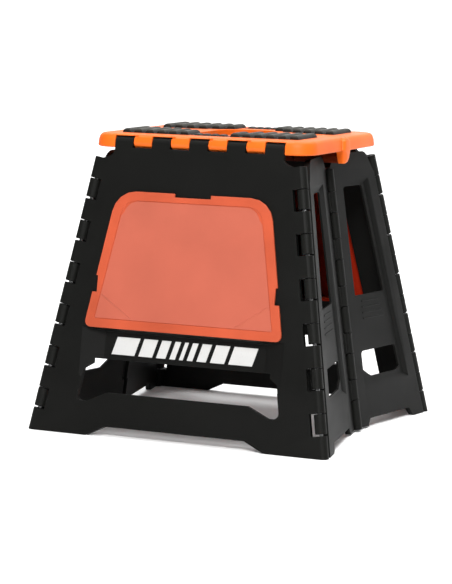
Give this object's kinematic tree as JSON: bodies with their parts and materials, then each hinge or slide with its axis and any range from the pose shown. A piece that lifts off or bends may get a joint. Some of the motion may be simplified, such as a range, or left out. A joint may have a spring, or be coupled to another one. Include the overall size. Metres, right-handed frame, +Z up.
{
  "type": "folding work stand",
  "caption": "Folding plastic work stand, used as a sawhorse: flared leg panels, centre-folding side panels and a folding top with rubber grips around a drain hole.",
  "frame": {"origin": "on the floor, under the centre of the stand", "axes": "+X along the long side, towards the right seen from the front leg; -Y towards the front leg; +Z up"},
  "size_m": [0.4404, 0.4, 0.4085],
  "materials": {
    "black_plastic": "moulded satin, fine grain",
    "top_plastic": "moulded satin orange",
    "cover_plastic": "moulded matte orange",
    "grip_rubber": "matte ridged rubber",
    "pin_steel": "plain drawn rod"
  },
  "bodies": {
    "centre_pins": {"centre_pin_right": "pin_steel", "centre_pin_left": "pin_steel"},
    "top_front": {"top_front": "top_plastic", "grip_front_right": "grip_rubber", "grip_front_left": "grip_rubber", "grip_strip_front": "grip_rubber"},
    "top_back": {"top_back": "top_plastic", "grip_back_right": "grip_rubber", "grip_back_left": "grip_rubber", "grip_strip_back": "grip_rubber"},
    "leg_front": {"leg_front": "black_plastic", "cover_plate_front": "cover_plastic", "corner_pin_right_front": "pin_steel", "corner_pin_left_front": "pin_steel", "top_pin_front": "pin_steel"},
    "leg_back": {"leg_back": "black_plastic", "cover_plate_back": "cover_plastic", "corner_pin_right_back": "pin_steel", "corner_pin_left_back": "pin_steel", "top_pin_back": "pin_steel"},
    "side_right_front": {"side_right_front": "black_plastic", "side_pin_right_1": "pin_steel", "side_pin_right_2": "pin_steel", "side_pin_right_3": "pin_steel", "side_pin_right_4": "pin_steel", "side_pin_right_5": "pin_steel"},
    "side_left_front": {"side_left_front": "black_plastic"},
    "side_right_back": {"side_right_back": "black_plastic"},
    "side_left_back": {"side_left_back": "black_plastic", "side_pin_left_1": "pin_steel", "side_pin_left_2": "pin_steel", "side_pin_left_3": "pin_steel", "side_pin_left_4": "pin_steel", "side_pin_left_5": "pin_steel"}
  },
  "joints": [
    {"name": "fold", "type": "hinge", "parent": "centre_pins", "child": "top_front", "pos_m": [0, 0, 0.375], "axis": [1, 0, 0], "range_deg": [0, 85]},
    {"name": "fold_back", "type": "hinge", "parent": "centre_pins", "child": "top_back", "pos_m": [0, 0, 0.375], "axis": [1, 0, 0], "range_deg": [-85.01, 0]},
    {"name": "leg_front_swing", "type": "hinge", "parent": "top_front", "child": "leg_front", "pos_m": [0, -0.12212, 0.3923], "axis": [1, 0, 0], "range_deg": [-76.36, 0]},
    {"name": "leg_back_swing", "type": "hinge", "parent": "top_back", "child": "leg_back", "pos_m": [0, 0.12212, 0.3923], "axis": [1, 0, 0], "range_deg": [0, 76.36]},
    {"name": "side_right_front_swing", "type": "hinge", "parent": "leg_front", "child": "side_right_front", "pos_m": [0.17935, -0.15898, 0.185], "axis": [-0.1722, 0.1724, 0.9698], "range_deg": [0, 72.66]},
    {"name": "side_left_front_swing", "type": "hinge", "parent": "leg_front", "child": "side_left_front", "pos_m": [-0.17935, -0.15898, 0.185], "axis": [0.1722, 0.1724, 0.9698], "range_deg": [-72.66, 0]},
    {"name": "side_right_back_swing", "type": "hinge", "parent": "leg_back", "child": "side_right_back", "pos_m": [0.17935, 0.15898, 0.185], "axis": [-0.1722, -0.1724, 0.9698], "range_deg": [-72.66, 0]},
    {"name": "side_left_back_swing", "type": "hinge", "parent": "leg_back", "child": "side_left_back", "pos_m": [-0.17935, 0.15898, 0.185], "axis": [0.1722, -0.1724, 0.9698], "range_deg": [0, 72.66]}
  ],
  "couplings": [
    {"joint": "fold_back", "follows": "fold", "ratio": -1},
    {"joint": "leg_front_swing", "follows": "fold", "ratio": -0.89818},
    {"joint": "leg_back_swing", "follows": "fold", "ratio": 0.89818},
    {"joint": "side_right_front_swing", "follows": "fold", "ratio": 0.85472},
    {"joint": "side_left_front_swing", "follows": "fold", "ratio": -0.85472},
    {"joint": "side_right_back_swing", "follows": "fold", "ratio": -0.85472},
    {"joint": "side_left_back_swing", "follows": "fold", "ratio": 0.85472}
  ]
}
